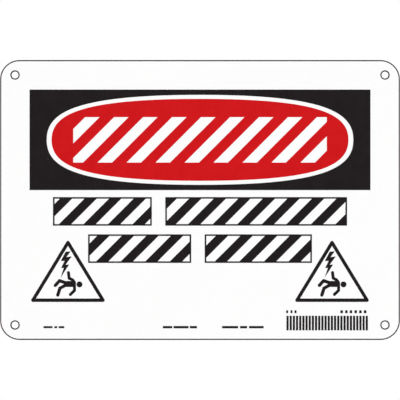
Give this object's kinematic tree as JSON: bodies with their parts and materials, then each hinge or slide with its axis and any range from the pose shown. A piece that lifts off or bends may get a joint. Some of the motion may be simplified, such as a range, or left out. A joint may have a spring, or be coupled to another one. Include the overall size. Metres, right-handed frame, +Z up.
{
  "type": "safety sign",
  "caption": "Flat rectangular wall sign: one punched sheet with rounded corners, four corner holes, a black header with a red oval, and two triangle symbols.",
  "frame": {"origin": "middle of the sheet's flat back face, which lies against the wall", "axes": "+X to the right as the printed face is read, +Z up, and -Y out of the wall towards the reader"},
  "size_m": [0.254, 0.001, 0.1778],
  "materials": {
    "sheet_white": "satin white enamel on the front, mill finish on the back and the edges",
    "ink_black": "satin screen-printed ink",
    "ink_red": "satin screen-printed ink"
  },
  "bodies": {
    "root": {"sign_sheet": "sheet_white", "header_panel": "ink_black", "oval_field": "ink_red", "upper_left_band": "ink_black", "upper_right_band": "ink_black", "lower_left_band": "ink_black", "lower_right_band": "ink_black", "left_triangle": "ink_black", "right_triangle": "ink_black"}
  },
  "joints": []
}
